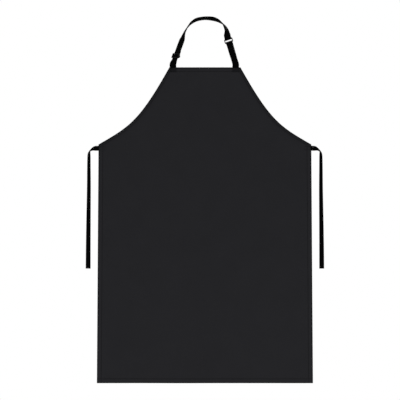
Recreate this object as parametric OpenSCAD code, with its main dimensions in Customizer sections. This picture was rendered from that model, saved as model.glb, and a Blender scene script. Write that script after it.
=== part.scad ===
// Artist's smock apron: a plain bib apron on an adjustable neck strap, with two waist ties.
// Millimetres. The apron hangs upright with its front towards -Y. The origin is the point under
// the top of the neck strap by which a neck or a peg holds it.

/* [Panel] */
// Width of the bib's top edge
bib_w = 214; // [206:1:222]
// Width of the panel at the waist, where the ties leave it
waist_w = 640; // [600:5:660]
// Width of the panel at its bottom hem
hem_w = 650; // [600:5:700]
// Height of the panel from the bib's top to the bottom hem
panel_h = 950; // [800:10:1100]
// Depth of the armhole curves below the bib's top
armhole_h = 232; // [215:1:250]
// Thickness of the cloth
cloth_t = 0.8; // [0.6:0.1:1]

/* [Hems] */
// Width of the hem across the bib's top
bib_hem_w = 14; // [13:1:18]
// Width of the hems along the armholes
armhole_hem_w = 10; // [8:1:12]
// Width of the hems down the two sides
side_hem_w = 15; // [10:1:20]
// Width of the hem along the bottom
bottom_hem_w = 15; // [10:1:25]
// Thickness that a turned hem adds behind the cloth
hem_t = 1.5; // [1:0.1:1.5]

/* [Neck strap] */
// Width of the webbing
strap_w = 20; // [17:0.5:20]
// Thickness of the webbing
strap_t = 1.4; // [1:0.1:1.4]
// Length of each strap end that is sewn behind the bib
foot_l = 13; // [8:1:13]
// Space between the two layers of the doubled strap
layer_gap = 0.4; // [0.4:0.05:0.6]

/* [Ring and slider] */
// Diameter of the ring's wire
ring_wire = 2.6; // [2.2:0.1:2.6]
// Distance between the centres of the ring's two long bars
ring_pitch = 11.6; // [11:0.1:13]
// Height of the slider along the strap
slider_h = 15; // [13:0.5:15]
// Thickness of the slider's front bars
slider_t = 2; // [1.5:0.1:2.5]
// Diameter of the slider's middle bar
slider_bar = 2.2; // [1.8:0.1:2.4]

/* [Waist ties] */
// Width of the tape
tie_w = 15; // [12:0.5:15]
// Thickness of the tape
tie_t = 1; // [0.8:0.1:1]
// Length of tape that is sewn behind each side hem
tab_l = 24; // [18:1:30]

/* [Hidden] */

cloth_colour = [0.14, 0.14, 0.15];
hem_colour = [0.12, 0.12, 0.13];
thread_colour = [0.08, 0.08, 0.09];
webbing_colour = [0.03, 0.03, 0.03];
plastic_colour = [0.02, 0.02, 0.02];

LEFT = -1;
RIGHT = 1;
thread_w = 0.8;
thread_t = 0.3;
seam_margin = 1.5;
// How far two rows of thread stop short, at the bib's corners and under the waist's
bib_seam_end = 30;
side_seam_end = 24;
// How far a stitched box stands in from the edges of what it holds
box_inset = 2;
bartack_inset = 2.5;
bartack_h = 2.4;
// Space between the strap's sewn end and the bib, and between the two layers of its end loop
fold_gap = 1.5;
sewn_gap = 0.2;
hem_corner_gap = 1;
$fn = 32;

// The armhole is one cubic curve: these are its two inner control points, from its own ends.
armhole_top_pull = [92, -165];
armhole_side_pull = [-91, 53];
armhole_steps = 16;

// Across the thickness, from the cloth's front face at y = 0 back to the layers sewn behind it
hem_back = cloth_t + hem_t;
strap_y = hem_back + strap_t / 2;
tie_y = hem_back + tie_t / 2;

// The strap's feet stand just inside the bib's corners.
left_foot_x = 11 - bib_w / 2;
right_foot_x = bib_w / 2 - 14.5;

// The strap's route, from the bib's top: each point is x, y, z and the roll of the webbing,
// in degrees from facing the front. The left leg is straight, so that the slider can run on it.
leg_foot = [left_foot_x, strap_y, 10];
leg_step = [5.2, 4.55, 14.3];
leg_steps = 5;
leg_roll = 42;
leg_start_roll = 9;
arch_points = [
    [-66, 31, 95.8, 68],
    [-61.6, 36, 107.5, 81],
    [-53.5, 44, 121.5, 90],
    [-42, 60, 135.3, 103],
    [-25, 78, 145.5, 114],
    [0, 88, 150, 115],
    [25, 84, 148, 121],
    [42, 72, 142, 109],
    [56, 57, 131.5, 87],
    [63.2, 43, 121, 68],
    [67.5, 31, 108, 50]
];
apex = [0, 88, 150];
apex_roll = 115;

// The ring hangs on a straight stretch of the right leg.
ring_at = [71.4, 24, 80.5];
ring_along = unit([6, -5, -20]);
ring_roll = -10;
ring_turn_r = 3.2;
ring_side_clear = 0.6;
ring_run = 10;
ring_tail = 24;
ring_tack_inset = 4;
// Places down the ring's leg, from the ring's centre, where it starts and stops being straight,
// and its rolls from there down to the bib
ring_leg_high = 41;
ring_leg_low = 62;
ring_low_roll = -20;
ring_foot_roll = -7;

// Steps of the left leg at which the slider sits and at which the doubled layer starts
slider_step = 1.68;
layer_step = leg_steps;
layer_end_gap = 0.5;
slider_clear = 0.3;
slider_cheek_t = 2.7;
slider_bar_h = 2.2;
slider_turn_r = slider_bar / 2 + sewn_gap + strap_t / 2;
slider_tail = 18;
loop_tack_inset = 5;

// The right tie's route, to be mirrored: it leaves the side, turns over on itself and hangs.
// Its points are measured out from the panel's side and down from the tie's middle.
tie_z = -243.3;
tie_root_points = [
    [1, 0, 0, 0],
    [7, 0, -0.2, 7],
    [13, 0, -1.1, 30],
    [19.5, 0, -3.7, 60],
    [25.3, 0, -7.7, 75]
];
tie_fall_points = [
    [26.8, 0, -9.6, 75],
    [28.4, 0, -17, 57],
    [28.8, 0.2, -30, 50],
    [29, 0.7, -60, 46],
    [29, 1.2, -110, 41],
    [29.6, 1.2, -170, 35],
    [30.3, 0.2, -230, 28],
    [30.9, -0.8, -295, 20],
    [31.3, -0.3, -362, 12]
];

function unit(v) = v / norm(v);
function smooth(t) = t * t * (3 - 2 * t);
function place_of(p) = [p[0], p[1], p[2]];
function reversed(list) = [for (i = [len(list) - 1 : -1 : 0]) list[i]];
function mirrored(outline) = [for (p = reversed(outline)) [-p[0], p[1]]];

// A point on the smooth curve through the points p, a share t of the way from p[k] to p[k + 1]
function curve_at(p, k, t) =
    let (
        a = p[max(k - 1, 0)],
        b = p[k],
        c = p[k + 1],
        d = p[min(k + 2, len(p) - 1)]
    )
    (
        2 * b
            + (c - a) * t
            + (2 * a - 5 * b + 4 * c - d) * t * t
            + (3 * b - a - 3 * c + d) * t * t * t
    ) / 2;

// The direction across a tape that runs along the unit vector run, rolled from facing the front
function across(run, roll) =
    let (side = unit(cross(run, [0, 1, 0])), front = cross(run, side))
    cos(roll) * side - sin(roll) * front;

// A tape is a list of stations, each a centre point and the direction across the tape.
function run_at(centres, i) =
    unit(centres[min(i + 1, len(centres) - 1)] - centres[max(i - 1, 0)]);

function stations(route, steps) =
    let (
        last = len(route) - 1,
        spots = [
            for (k = [0 : last - 1], i = [0 : k == last - 1 ? steps : steps - 1])
                [
                    place_of(curve_at(route, k, i / steps)),
                    route[k][3] + (route[k + 1][3] - route[k][3]) * smooth(i / steps)
                ]
        ],
        centres = [for (s = spots) s[0]]
    )
    [for (i = [0 : len(spots) - 1]) [centres[i], across(run_at(centres, i), spots[i][1])]];

// The same stations, moved out of the tape's face by a distance
function shifted(tape, distance) =
    let (centres = [for (s = tape) s[0]])
    [
        for (i = [0 : len(tape) - 1])
            [centres[i] + distance * cross(run_at(centres, i), tape[i][1]), tape[i][1]]
    ];

// A tape that comes in at front, turns round a bar with radius r and leaves at back, all measured
// out of the face from the bar's centre. axes holds the across, out and along directions.
function bar_turn(centre, axes, r, front, back, run_in, run_out) =
    let (
        profile = concat(
            [for (s = [0 : 1 / 6 : 0.99]) [front + (r - front) * smooth(s), (s - 1) * run_in]],
            [for (a = [0 : 22.5 : 180]) [r * cos(a), r * sin(a)]],
            [for (s = [1 / 6 : 1 / 6 : 1.01]) [(back + r) * smooth(min(s * 1.5, 1)) - r, -s * run_out]]
        )
    )
    [for (p = profile) [centre + p[0] * axes[1] + p[1] * axes[2], axes[0]]];

// The across, out and along directions of a fitting on a straight stretch of strap
function fitting_axes(along, roll) =
    let (wide = across(along, roll))
    [wide, cross(along, wide), along];

leg_along = unit(leg_step);
slider_axes = fitting_axes(leg_along, leg_roll);
slider_at = leg_foot + slider_step * leg_step;
ring_axes = fitting_axes(ring_along, ring_roll);
layer_shift = strap_t + layer_gap;

leg_points = [
    for (k = [0 : leg_steps])
        concat(leg_foot + k * leg_step, [k == 0 ? leg_start_roll : leg_roll])
];
ring_entry = ring_at - (ring_pitch / 2 + ring_run) * ring_along;
strap_steps = 3;
outer_layer = stations(
    concat(
        [[left_foot_x, strap_y, fold_gap, 0]],
        leg_points,
        arch_points,
        [concat(ring_entry, [ring_roll])]
    ),
    strap_steps
);
ring_turn = bar_turn(
    ring_at - ring_pitch / 2 * ring_along, ring_axes, ring_turn_r, 0, -layer_shift, ring_run, ring_run
);
inner_layer = shifted(outer_layer, -layer_shift);
first_inner = strap_steps * (1 + layer_step);

// The apron's own frame puts the origin under the strap's top, below both layers.
apex_out = [0, -cos(apex_roll), sin(apex_roll)];
apex_inner = apex - (layer_shift + strap_t / 2) * apex_out;

module from_bib() {
    translate(-apex_inner) children();
}

// Draws the tape with rounded edges along its stations
module tape(spots, width, thick) {
    half_w = width / 2;
    half_t = thick / 2;
    bevel = thick / 3;
    outline = [
        [half_w, -half_t / 2], [half_w, half_t / 2],
        [half_w - bevel, half_t], [bevel - half_w, half_t],
        [-half_w, half_t / 2], [-half_w, -half_t / 2],
        [bevel - half_w, -half_t], [half_w - bevel, -half_t]
    ];
    n = len(outline);
    last = len(spots) - 1;
    centres = [for (s = spots) s[0]];
    points = [
        for (i = [0 : last])
            let (
                run = run_at(centres, i),
                wide = unit(spots[i][1] - (spots[i][1] * run) * run),
                out = cross(run, wide)
            )
            for (p = outline) centres[i] + p[0] * wide + p[1] * out
    ];
    sides = [
        for (i = [0 : last - 1], j = [0 : n - 1])
            let (
                a = i * n + j,
                b = i * n + (j + 1) % n,
                slants = j < n / 2
                    ? [[a, a + n, b + n], [a, b + n, b]]
                    : [[a, a + n, b], [b, a + n, b + n]]
            )
            for (triangle = slants) triangle
    ];
    start = [for (j = [0 : n - 1]) j];
    end = [for (j = [n - 1 : -1 : 0]) last * n + j];
    polyhedron(points, concat(sides, [start, end]));
}

// An upright flat shape, drawn in x and z, from y backwards by thick
module upright(y, thick) {
    translate([0, y + thick, 0])
        rotate([90, 0, 0])
            linear_extrude(thick)
                children();
}

module fitted(at, axes) {
    multmatrix([
        for (i = [0 : 2]) [axes[0][i], axes[1][i], axes[2][i], at[i]]
    ])
        children();
}

// Outlines, with x to the right and z up from the bib's top edge

armhole_curve = [
    for (i = [0 : armhole_steps])
        let (
            t = i / armhole_steps,
            top = [bib_w / 2, 0],
            side = [waist_w / 2, -armhole_h]
        )
        pow(1 - t, 3) * top
            + 3 * t * pow(1 - t, 2) * (top + armhole_top_pull)
            + 3 * t * t * (1 - t) * (side + armhole_side_pull)
            + pow(t, 3) * side
];

function inset(curve, distance) = [
    for (i = [0 : len(curve) - 1])
        let (d = unit(curve[min(i + 1, len(curve) - 1)] - curve[max(i - 1, 0)]))
        curve[i] + distance * [d[1], -d[0]]
];

function side_x(z) =
    waist_w / 2 + (hem_w - waist_w) / 2 * (-z - armhole_h) / (panel_h - armhole_h);

module side_strip(from, to, top, bottom) {
    polygon([
        [side_x(top) - from, top],
        [side_x(bottom) - from, bottom],
        [side_x(bottom) - to, bottom],
        [side_x(top) - to, top]
    ]);
}

module level_strip(half_w, low, high) {
    polygon([[-half_w, low], [half_w, low], [half_w, high], [-half_w, high]]);
}

module curve_strip(curve, from, to) {
    polygon(concat(inset(curve, from), reversed(inset(curve, to))));
}

module on_side(side) {
    flip = side == LEFT ? 1 : 0;
    mirror([flip, 0, 0]) children();
}

// Rows of thread, sunk into the front of the cloth. Each is drawn from y backwards by thick, so
// that the cloth can be grooved to take it.

module bib_row(y, thick) {
    z = seam_margin - bib_hem_w;
    upright(y, thick) level_strip(bib_w / 2 - bib_seam_end, z, z + thread_w);
}

module bottom_row(y, thick) {
    z = bottom_hem_w - seam_margin - panel_h;
    upright(y, thick) level_strip(side_x(z) - side_hem_w, z - thread_w, z);
}

module armhole_row(side, y, thick) {
    row = armhole_hem_w - seam_margin;
    between_boxes = [for (i = [1 : armhole_steps - 1]) armhole_curve[i]];
    on_side(side) upright(y, thick) curve_strip(between_boxes, row - thread_w, row);
}

module side_row(side, y, thick) {
    row = side_hem_w - seam_margin;
    on_side(side)
        upright(y, thick)
            side_strip(row - thread_w, row, -armhole_h - side_seam_end, bottom_hem_w - panel_h);
}

// A stitched box with a cross in it, centred on the given place
module stitched_box(x, z, width, height, y, thick) {
    slant = atan2(height, width);
    translate([x, y + thick / 2, z])
        for (s = [-1, 1]) {
            translate([0, 0, s * (height - thread_w) / 2])
                cube([width, thick, thread_w], center = true);
            translate([s * (width - thread_w) / 2, 0, 0])
                cube([thread_w, thick, height], center = true);
            rotate([0, s * slant, 0])
                cube([norm([width, height]) - 2 * thread_w, thick, thread_w], center = true);
        }
}

module foot_box(x, y, thick) {
    stitched_box(x, -foot_l / 2, strap_w - 2 * box_inset, foot_l - 2 * box_inset, y, thick);
}

module tab_box(side, y, thick) {
    x = side * (waist_w / 2 - tab_l / 2);
    stitched_box(x, tie_z, tab_l - 4 * box_inset, tie_w - 2 * box_inset, y, thick);
}

// Thread as it lies in its groove
module sewn() {
    color(thread_colour) from_bib() children();
}

module bib_seam() {
    sewn() bib_row(0, thread_t);
}

module bottom_seam() {
    sewn() bottom_row(0, thread_t);
}

module armhole_seam(side) {
    sewn() armhole_row(side, 0, thread_t);
}

module side_seam(side) {
    sewn() side_row(side, 0, thread_t);
}

module foot_stitches(x) {
    sewn() foot_box(x, 0, thread_t);
}

module tab_stitches(side) {
    sewn() tab_box(side, 0, thread_t);
}

// The cloth and its hems

module grooves() {
    over = 1;
    deep = over + thread_t;
    bib_row(-over, deep);
    bottom_row(-over, deep);
    foot_box(left_foot_x, -over, deep);
    foot_box(right_foot_x, -over, deep);
    for (side = [LEFT, RIGHT]) {
        armhole_row(side, -over, deep);
        side_row(side, -over, deep);
        tab_box(side, -over, deep);
    }
}

module panel() {
    right = concat(armhole_curve, [[hem_w / 2, -panel_h]]);
    left = mirrored(right);
    color(cloth_colour)
        from_bib()
            difference() {
                upright(0, cloth_t) polygon(concat(right, left));
                grooves();
            }
}

module hem() {
    color(hem_colour)
        from_bib()
            upright(cloth_t, hem_t)
                children();
}

module bib_hem() {
    hem() level_strip(bib_w / 2 - armhole_hem_w - hem_corner_gap, -bib_hem_w, 0);
}

module bottom_hem() {
    low = -panel_h;
    high = bottom_hem_w - panel_h;
    hem()
        polygon([[-side_x(low), low], [side_x(low), low], [side_x(high), high], [-side_x(high), high]]);
}

module armhole_hem(side) {
    on_side(side) hem() curve_strip(armhole_curve, 0, armhole_hem_w);
}

module side_hem(side) {
    on_side(side)
        hem()
            side_strip(0, side_hem_w, -armhole_h - armhole_hem_w, bottom_hem_w - panel_h);
}

// The neck strap

module strap_foot(x) {
    color(webbing_colour)
        from_bib()
            translate([x, 0, 0])
                upright(hem_back, strap_t)
                    level_strip(strap_w / 2, -foot_l, 0);
}

module neck_strap() {
    turn = [for (i = [1 : len(ring_turn) - 1]) ring_turn[i]];
    back = [for (i = [len(inner_layer) - 2 : -1 : first_inner]) inner_layer[i]];
    color(webbing_colour)
        from_bib()
            tape(concat(outer_layer, turn, back), strap_w, strap_t);
}

// The stretch of the inner layer that gathers or draws out as the slider moves
module strap_slack() {
    low = slider_at + slider_tail * leg_along;
    high = leg_foot + layer_step * leg_step - layer_end_gap * leg_along;
    out = slider_axes[1];
    color(webbing_colour)
        from_bib()
            tape(
                [for (p = [low, high]) [p - layer_shift * out, slider_axes[0]]],
                strap_w,
                strap_t
            );
}

// The short strap from the right foot, up round the ring's lower bar and down behind itself
module ring_strap() {
    up_axes = [ring_axes[0], ring_axes[1], -ring_along];
    leg = stations(
        [
            concat(ring_at + (ring_pitch / 2 + ring_run) * ring_along, [ring_roll]),
            concat(ring_at + ring_leg_high * ring_along, [ring_roll]),
            concat(ring_at + ring_leg_low * ring_along, [ring_low_roll]),
            [right_foot_x, strap_y, 9, ring_foot_roll],
            [right_foot_x, strap_y, fold_gap, 0]
        ],
        strap_steps
    );
    turn = bar_turn(
        ring_at + ring_pitch / 2 * ring_along, up_axes, ring_turn_r, 0, -layer_shift, ring_run, ring_tail
    );
    color(webbing_colour)
        from_bib()
            tape(concat(reversed(leg), [for (i = [1 : len(turn) - 1]) turn[i]]), strap_w, strap_t);
}

// A dense bar of thread across a doubled strap, on its front face
module bartack(at, axes, out) {
    color(thread_colour)
        from_bib()
            fitted(at, axes)
                translate([0, out, 0])
                    cube([strap_w - 2 * bartack_inset, thread_t, bartack_h], center = true);
}

module ring_strap_bartack() {
    bartack(
        ring_at + (ring_pitch / 2 + ring_tail - ring_tack_inset) * ring_along,
        ring_axes,
        (strap_t + thread_t) / 2
    );
}

module end_loop_bartack() {
    bartack(
        slider_at + (slider_tail - loop_tack_inset) * leg_along,
        slider_axes,
        -layer_shift - strap_t * 1.5 - 1.5 * sewn_gap - thread_t / 2
    );
}

// A rectangular wire ring with rounded corners
module ring() {
    bar_x = strap_w / 2 + ring_side_clear + ring_wire / 2;
    bar_z = ring_pitch / 2;
    color(plastic_colour)
        from_bib()
            fitted(ring_at, ring_axes)
                for (s = [-1, 1]) {
                    translate([0, 0, s * bar_z])
                        rotate([0, 90, 0])
                            cylinder(d = ring_wire, h = 2 * bar_x, center = true);
                    translate([s * bar_x, 0, 0])
                        cylinder(d = ring_wire, h = 2 * bar_z, center = true);
                    for (e = [-1, 1])
                        translate([s * bar_x, 0, e * bar_z])
                            sphere(d = ring_wire);
                }
}

// A slider: two front bars and a set-back middle bar between two cheeks. The outer layer runs
// straight between the front bars and the middle bar.
module slider() {
    front_y = strap_t / 2 + slider_clear;
    bar_y = -layer_shift - slider_turn_r;
    cheek_x = strap_w / 2 + slider_clear;
    half_h = slider_h / 2;
    color(plastic_colour)
        from_bib()
            fitted(slider_at, slider_axes) {
                for (s = [-1, 1]) {
                    translate([0, front_y + slider_t / 2, s * (half_h - slider_bar_h / 2)])
                        cube([2 * cheek_x, slider_t, slider_bar_h], center = true);
                    translate([s * (cheek_x + slider_cheek_t / 2) - slider_cheek_t / 2, 0, 0])
                        rotate([90, 0, 90])
                            linear_extrude(slider_cheek_t)
                                polygon([
                                    [front_y + slider_t, -half_h],
                                    [front_y + slider_t, half_h],
                                    [front_y, half_h],
                                    [bar_y - slider_bar / 2, slider_bar / 2],
                                    [bar_y - slider_bar / 2, -slider_bar / 2],
                                    [front_y, -half_h]
                                ]);
                }
                translate([0, bar_y, 0])
                    rotate([0, 90, 0])
                        cylinder(d = slider_bar, h = 2 * cheek_x, center = true);
            }
}

// The strap's end, turned round the slider's middle bar and sewn to itself
module strap_end_loop() {
    down_axes = [slider_axes[0], slider_axes[1], -leg_along];
    bar = slider_at - (layer_shift + slider_turn_r) * slider_axes[1];
    color(webbing_colour)
        from_bib()
            tape(
                bar_turn(
                    bar, down_axes, slider_turn_r,
                    slider_turn_r, slider_turn_r - strap_t - sewn_gap,
                    slider_tail, slider_tail
                ),
                strap_w,
                strap_t
            );
}

// The waist ties

module tie_tab(side) {
    color(webbing_colour)
        from_bib()
            on_side(side)
                upright(hem_back, tie_t)
                    polygon([
                        for (p = [[-tab_l, -1], [0, -1], [0, 1], [-tab_l, 1]])
                            [waist_w / 2 + p[0], tie_z + p[1] * tie_w / 2]
                    ]);
}

module tie_part(side, points, steps) {
    color(webbing_colour)
        from_bib()
            on_side(side)
                translate([waist_w / 2, tie_y, tie_z])
                    tape(stations(points, steps), tie_w, tie_t);
}

panel();
bib_hem();
bottom_hem();
armhole_hem(LEFT);  // left_armhole_hem
armhole_hem(RIGHT);  // right_armhole_hem
side_hem(LEFT);  // left_side_hem
side_hem(RIGHT);  // right_side_hem
bib_seam();
bottom_seam();
armhole_seam(LEFT);  // left_armhole_seam
armhole_seam(RIGHT);  // right_armhole_seam
side_seam(LEFT);  // left_side_seam
side_seam(RIGHT);  // right_side_seam
strap_foot(left_foot_x);  // left_strap_foot
strap_foot(right_foot_x);  // right_strap_foot
foot_stitches(left_foot_x);  // left_foot_stitches
foot_stitches(right_foot_x);  // right_foot_stitches
neck_strap();
strap_slack();
ring_strap();
ring_strap_bartack();
ring();
slider();
strap_end_loop();
end_loop_bartack();
tie_tab(LEFT);  // left_tie_tab
tie_tab(RIGHT);  // right_tie_tab
tab_stitches(LEFT);  // left_tab_stitches
tab_stitches(RIGHT);  // right_tab_stitches
tie_part(LEFT, tie_root_points, 3);  // left_tie_root
tie_part(RIGHT, tie_root_points, 3);  // right_tie_root
tie_part(LEFT, tie_fall_points, 4);  // left_tie_fall
tie_part(RIGHT, tie_fall_points, 4);  // right_tie_fall
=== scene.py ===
"""Looks for the artist's smock apron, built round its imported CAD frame.

Everything is in metres in the row frame: x to the right, -y to the front, z up. Routes and
outlines are given in the bib's frame, whose origin is the middle of the bib's top edge on the
front face of the cloth, and placed() moves them into the row frame.
"""

import math

import bmesh
import bpy
import numpy as np
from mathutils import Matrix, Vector


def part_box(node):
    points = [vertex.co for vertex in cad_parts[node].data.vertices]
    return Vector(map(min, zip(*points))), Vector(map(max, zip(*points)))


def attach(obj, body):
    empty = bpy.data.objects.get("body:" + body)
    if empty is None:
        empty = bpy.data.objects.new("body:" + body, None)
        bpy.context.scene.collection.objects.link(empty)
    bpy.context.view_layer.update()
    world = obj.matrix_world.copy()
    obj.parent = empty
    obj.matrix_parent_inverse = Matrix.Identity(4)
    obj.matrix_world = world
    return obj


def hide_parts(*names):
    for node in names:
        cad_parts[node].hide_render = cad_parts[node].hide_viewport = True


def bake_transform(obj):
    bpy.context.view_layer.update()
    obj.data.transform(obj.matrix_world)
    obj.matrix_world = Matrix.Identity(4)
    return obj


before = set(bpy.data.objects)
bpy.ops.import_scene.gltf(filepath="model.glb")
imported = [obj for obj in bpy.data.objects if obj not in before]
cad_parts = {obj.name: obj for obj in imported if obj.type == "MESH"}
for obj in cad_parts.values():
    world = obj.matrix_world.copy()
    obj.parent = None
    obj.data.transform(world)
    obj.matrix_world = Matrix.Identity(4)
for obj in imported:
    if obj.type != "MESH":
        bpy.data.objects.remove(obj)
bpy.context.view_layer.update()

MM = 0.001
LEFT, RIGHT = -1, 1

# Where the bib's frame stands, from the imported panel
PANEL_LOW, PANEL_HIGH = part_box("panel")
BIB_ORIGIN = np.array([0.0, PANEL_LOW.y, PANEL_HIGH.z])

# The cloth and its hems
HEIGHT = PANEL_HIGH.z - PANEL_LOW.z
CLOTH = 0.8 * MM
HEM = 1.5 * MM
ARMHOLE = np.array([[107, 0], [199, -165], [229, -179], [320, -232]]) * MM
WAIST = ARMHOLE[3]
HEM_HALF = 325 * MM
# How wide each kind of turned hem is
HEM_WIDTHS = {"bib": 14 * MM, "armhole": 10 * MM, "side": 15 * MM, "bottom": 15 * MM}
SEAM_INSET = 1.9 * MM

# The neck strap
STRAP_WIDTH = 20 * MM
STRAP_THICK = 1.4 * MM
STRAP_Y = CLOTH + HEM + STRAP_THICK / 2
LAYER_SHIFT = 1.8 * MM
FOOT_LENGTH = 13 * MM
LEFT_FOOT_X = -96 * MM
RIGHT_FOOT_X = 92.5 * MM
WEBBING_RIBS = 9
RIB_DEPTH = 0.09 * MM

# The waist ties
TIE_WIDTH = 15 * MM
TIE_THICK = 1.0 * MM
TIE_Y = CLOTH + HEM + TIE_THICK / 2
TIE_Z = -243.3 * MM
TAB_LENGTH = 24 * MM
# How far a tie's sewn end is pressed into the cloth behind the side hem
TAB_SINK = 0.1 * MM
TAB_STATIONS = 10
# The root's station at which the loose piece of each tie takes over from its sewn end
LOOSE_FROM = 4

# How far apart the stations of each kind of tape are
WEBBING_STEP = 1.6 * MM
TIE_END_STEP = 1.2 * MM
TIE_STEP = 2.2 * MM

# The stitched boxes stand this far inside the ends that they hold, and the dense bars of thread
# this far inside the strap's edges and from the doubled ends.
BOX_INSET = 2 * MM
BARTACK_INSET = 3 * MM
RING_TACK_INSET = 4 * MM
LOOP_TACK_INSET = 5 * MM
TACK_LIFT = 0.12 * MM
TACK_STITCHES = 30
TACK_STITCH = 2.5 * MM
HEM_STITCH = 3.3 * MM
BOX_STITCH = 2.4 * MM
HEM_THREAD = 0.55 * MM
BOX_THREAD = 0.5 * MM
STITCH_SEED = 7


def placed(points):
    """Points of the bib's frame in the row frame"""
    return np.asarray(points, float) + BIB_ORIGIN


def unit(v):
    return v / np.linalg.norm(v, axis=-1, keepdims=True)


def smooth(t):
    """An eased step from 0 to 1"""
    t = np.clip(t, 0, 1)
    return t * t * (3 - 2 * t)


# --- Camera, studio and lights -------------------------------------------------------------------

VIEW_SPAN = 1.203
LENS = 900.0
SENSOR = 36.0
VIEW_CENTRE = (-14.8 * MM, -546.8 * MM)
FLOOR_DROP = 350 * MM
FLOOR_RADIUS = 2.85


def make_camera():
    data = bpy.data.cameras.new("camera")
    data.lens = LENS
    data.sensor_width = SENSOR
    data.clip_end = 100
    camera = bpy.data.objects.new("camera", data)
    bpy.context.scene.collection.objects.link(camera)
    distance = VIEW_SPAN * LENS / SENSOR
    camera.location = (VIEW_CENTRE[0], PANEL_LOW.y - distance, VIEW_CENTRE[1])
    camera.rotation_euler = (math.radians(90), 0, 0)
    bpy.context.scene.camera = camera


def add_sun(name, towards, strength, spread):
    data = bpy.data.lights.new(name, "SUN")
    data.energy = strength
    data.angle = math.radians(spread)
    sun = bpy.data.objects.new(name, data)
    bpy.context.scene.collection.objects.link(sun)
    sun.rotation_euler = Vector(towards).to_track_quat("Z", "Y").to_euler()


def make_world():
    """A white surround for the camera, and a softer one that is brighter above as light."""
    world = bpy.data.worlds.new("studio")
    bpy.context.scene.world = world
    world.use_nodes = True
    tree = world.node_tree
    tree.nodes.clear()
    seen = tree.nodes.new("ShaderNodeBackground")
    seen.inputs["Color"].default_value = (1, 1, 1, 1)
    light = tree.nodes.new("ShaderNodeBackground")
    place = tree.nodes.new("ShaderNodeTexCoord")
    split = tree.nodes.new("ShaderNodeSeparateXYZ")
    ramp = tree.nodes.new("ShaderNodeMapRange")
    ramp.inputs["From Min"].default_value = -1
    ramp.inputs["To Min"].default_value = 0.3
    ramp.inputs["To Max"].default_value = 0.6
    path = tree.nodes.new("ShaderNodeLightPath")
    mix = tree.nodes.new("ShaderNodeMixShader")
    out = tree.nodes.new("ShaderNodeOutputWorld")
    links = tree.links
    links.new(place.outputs["Generated"], split.inputs[0])
    links.new(split.outputs["Z"], ramp.inputs["Value"])
    links.new(ramp.outputs["Result"], light.inputs["Strength"])
    links.new(path.outputs["Is Camera Ray"], mix.inputs["Fac"])
    links.new(light.outputs[0], mix.inputs[1])
    links.new(seen.outputs[0], mix.inputs[2])
    links.new(mix.outputs[0], out.inputs["Surface"])


def make_floor():
    """A pale floor well below the hem, which fades into the surround at its rim."""
    mesh = bpy.data.meshes.new("floor")
    made = bmesh.new()
    bmesh.ops.create_circle(made, cap_ends=True, segments=96, radius=FLOOR_RADIUS)
    made.to_mesh(mesh)
    made.free()
    floor = bpy.data.objects.new("floor", mesh)
    floor.location = (0, 0, PANEL_LOW.z - FLOOR_DROP)
    bpy.context.scene.collection.objects.link(floor)
    material, tree, shader = new_material("floor_paint", (0.86, 0.86, 0.86), 0.7, 0.2)
    place = tree.nodes.new("ShaderNodeTexCoord").outputs["Object"]
    length = tree.nodes.new("ShaderNodeVectorMath")
    length.operation = "LENGTH"
    tree.links.new(place, length.inputs[0])
    fade = map_range(tree, length.outputs["Value"], 0.25 * FLOOR_RADIUS, FLOOR_RADIUS, 1, 0)
    tree.links.new(fade, shader.inputs["Alpha"])
    grain = noise(tree, place, 900, 2)
    bump(tree, shader, grain, 0.05, 0.2 * MM)
    mesh.materials.append(material)


# --- Node helpers --------------------------------------------------------------------------------


def new_material(name, colour, roughness, specular, sheen=0.0, sheen_roughness=0.5):
    material = bpy.data.materials.new(name)
    material.use_nodes = True
    tree = material.node_tree
    shader = next(n for n in tree.nodes if n.type == "BSDF_PRINCIPLED")
    shader.inputs["Base Color"].default_value = (*colour, 1)
    shader.inputs["Roughness"].default_value = roughness
    shader.inputs["Specular IOR Level"].default_value = specular
    shader.inputs["Sheen Weight"].default_value = sheen
    shader.inputs["Sheen Roughness"].default_value = sheen_roughness
    return material, tree, shader


def feed(tree, socket, value):
    if isinstance(value, bpy.types.NodeSocket):
        tree.links.new(value, socket)
    else:
        socket.default_value = value


def maths(tree, operation, first, second=0.0, third=0.0):
    node = tree.nodes.new("ShaderNodeMath")
    node.operation = operation
    for socket, value in zip(node.inputs, (first, second, third)):
        feed(tree, socket, value)
    return node.outputs[0]


def map_range(tree, value, low, high, to_low, to_high):
    node = tree.nodes.new("ShaderNodeMapRange")
    node.interpolation_type = "SMOOTHSTEP"
    for socket, number in zip(node.inputs, (value, low, high, to_low, to_high)):
        feed(tree, socket, number)
    return node.outputs["Result"]


def attribute(tree, name):
    node = tree.nodes.new("ShaderNodeAttribute")
    node.attribute_name = name
    return node


def noise(tree, vector, scale, detail=3.0, roughness=0.5):
    node = tree.nodes.new("ShaderNodeTexNoise")
    node.inputs["Scale"].default_value = scale
    node.inputs["Detail"].default_value = detail
    node.inputs["Roughness"].default_value = roughness
    tree.links.new(vector, node.inputs["Vector"])
    return node.outputs["Fac"]


def tinted(tree, shader, colour, factor):
    """Base colour times a factor that varies over the surface"""
    node = tree.nodes.new("ShaderNodeVectorMath")
    node.operation = "SCALE"
    node.inputs[0].default_value = colour
    tree.links.new(factor, node.inputs["Scale"])
    tree.links.new(node.outputs[0], shader.inputs["Base Color"])


def bump(tree, shader, height, strength, distance):
    node = tree.nodes.new("ShaderNodeBump")
    node.inputs["Strength"].default_value = strength
    node.inputs["Distance"].default_value = distance
    tree.links.new(height, node.inputs["Height"])
    tree.links.new(node.outputs[0], shader.inputs["Normal"])


def ripple(tree, value, pitch):
    """A wave from 0 to 1 with that pitch along value"""
    wave = maths(tree, "SINE", maths(tree, "MULTIPLY", value, 2 * math.pi / pitch))
    return maths(tree, "MULTIPLY_ADD", wave, 0.5, 0.5)


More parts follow.
